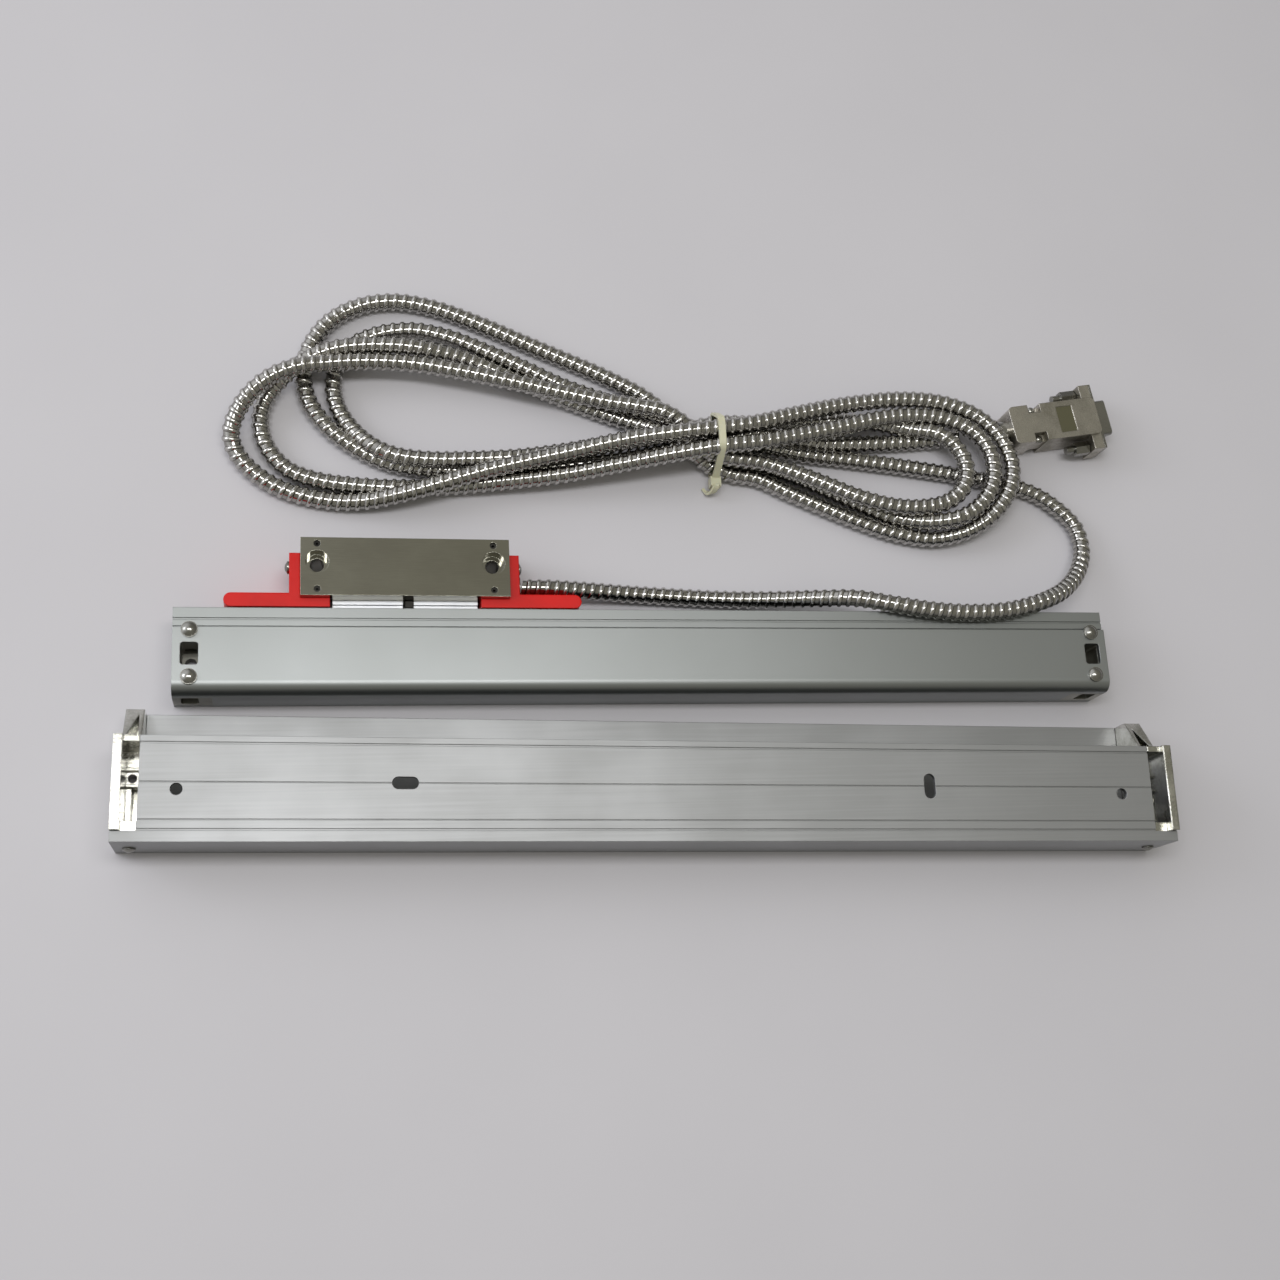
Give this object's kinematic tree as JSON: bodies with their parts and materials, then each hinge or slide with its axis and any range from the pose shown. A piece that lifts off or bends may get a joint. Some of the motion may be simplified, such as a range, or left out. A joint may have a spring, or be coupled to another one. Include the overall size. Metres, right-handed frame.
{
  "type": "linear glass scale",
  "caption": "Sealed linear encoder: aluminium housing with a glass scale, a sliding reading head on an armoured cable with a D-type plug, and a separate dust cover.",
  "frame": {"origin": "midway between the two end fixing holes, on the back face of the housing", "axes": "+X along the housing, +Y from the near side to the reading head, +Z out of the back face, up as it lies"},
  "size_m": [0.4333, 0.2487, 0.0305],
  "materials": {
    "housing_aluminium": "satin anodised",
    "die_cast": "satin",
    "head_plate": "bright plated",
    "steel": "bright",
    "red_plastic": "glossy",
    "black_rubber": "matte",
    "scale_glass": "polished",
    "bond": "matte",
    "board_green": "satin",
    "black_plastic": "satin",
    "cable_armour": "bright ribbed",
    "cable_bundle": "bright ribbed",
    "tie_nylon": "satin",
    "plug_nickel": "grainy nickel plate",
    "gold": "bright",
    "cover_aluminium": "satin",
    "cast_plate": "bright plated casting"
  },
  "bodies": {
    "scale": {"housing": "housing_aluminium", "end_block_left": "die_cast", "end_block_right": "die_cast", "end_gasket_left": "black_rubber", "end_gasket_right": "black_rubber", "block_screws": "steel", "glass_scale": "scale_glass", "glass_bond": "bond", "lip_upper": "black_rubber", "lip_lower": "black_rubber"},
    "head": {"head_block": "head_plate", "head_cover": "head_plate", "adjust_screws": "steel", "circuit_board": "board_green", "blade": "steel", "carriage": "die_cast", "lamp_module": "black_plastic", "reticle": "scale_glass", "detector_board": "board_green", "roller_pins": "steel", "transport_bracket_left": "red_plastic", "transport_bracket_right": "red_plastic", "bracket_screws": "steel", "cable_gland": "steel", "cable_lead": "cable_armour", "cable_hank": "cable_bundle", "cable_tail": "cable_armour", "cable_tie": "tie_nylon", "plug_collar": "steel", "hood_lower": "plug_nickel", "hood_upper": "plug_nickel", "hood_screws": "steel", "plug_shell": "steel", "plug_insert": "black_plastic", "plug_pins": "gold"},
    "face_roller_left": {"face_roller_left": "steel"},
    "face_roller_right": {"face_roller_right": "steel"},
    "face_roller_middle": {"face_roller_middle": "steel"},
    "edge_roller_left": {"edge_roller_left": "steel"},
    "edge_roller_right": {"edge_roller_right": "steel"},
    "jackscrew_far": {"jackscrew_far": "steel"},
    "jackscrew_near": {"jackscrew_near": "steel"},
    "cover": {"cover_profile": "cover_aluminium", "cover_end_left": "cast_plate", "cover_end_right": "cast_plate", "cover_screws": "steel"}
  },
  "joints": [
    {"name": "head_slide", "type": "slide", "parent": "scale", "child": "head", "axis": [1, 0, 0], "range_m": [-0.02, 0.23]},
    {"name": "face_roller_left_spin", "type": "hinge", "parent": "head", "child": "face_roller_left", "pos_m": [-0.135, 0.0015, 0.01545], "axis": [0, 1, 0], "continuous": true},
    {"name": "face_roller_right_spin", "type": "hinge", "parent": "head", "child": "face_roller_right", "pos_m": [-0.075, 0.0015, 0.01545], "axis": [0, 1, 0], "continuous": true},
    {"name": "face_roller_middle_spin", "type": "hinge", "parent": "head", "child": "face_roller_middle", "pos_m": [-0.105, -0.0064, 0.01545], "axis": [0, 1, 0], "continuous": true},
    {"name": "edge_roller_left_spin", "type": "hinge", "parent": "head", "child": "edge_roller_left", "pos_m": [-0.127, 0.00765, 0.011], "axis": [0, 0, 1], "continuous": true},
    {"name": "edge_roller_right_spin", "type": "hinge", "parent": "head", "child": "edge_roller_right", "pos_m": [-0.083, 0.00765, 0.011], "axis": [0, 0, 1], "continuous": true},
    {"name": "jackscrew_far_turn", "type": "hinge", "parent": "head", "child": "jackscrew_far", "pos_m": [0.16504, 0.11985, 0.0083], "axis": [0.9877, 0.1564, 0], "continuous": true},
    {"name": "jackscrew_near_turn", "type": "hinge", "parent": "head", "child": "jackscrew_near", "pos_m": [0.16896, 0.09515, 0.0083], "axis": [0.9877, 0.1564, 0], "continuous": true},
    {"name": "cover_lift", "type": "slide", "parent": "scale", "child": "cover", "axis": [0, 0, 1], "range_m": [0, 0.08]}
  ],
  "couplings": [
    {"joint": "face_roller_left_spin", "follows": "head_slide", "rad_per_m": 400},
    {"joint": "face_roller_right_spin", "follows": "head_slide", "rad_per_m": 400},
    {"joint": "face_roller_middle_spin", "follows": "head_slide", "rad_per_m": 400},
    {"joint": "edge_roller_left_spin", "follows": "head_slide", "rad_per_m": -400},
    {"joint": "edge_roller_right_spin", "follows": "head_slide", "rad_per_m": -400}
  ]
}
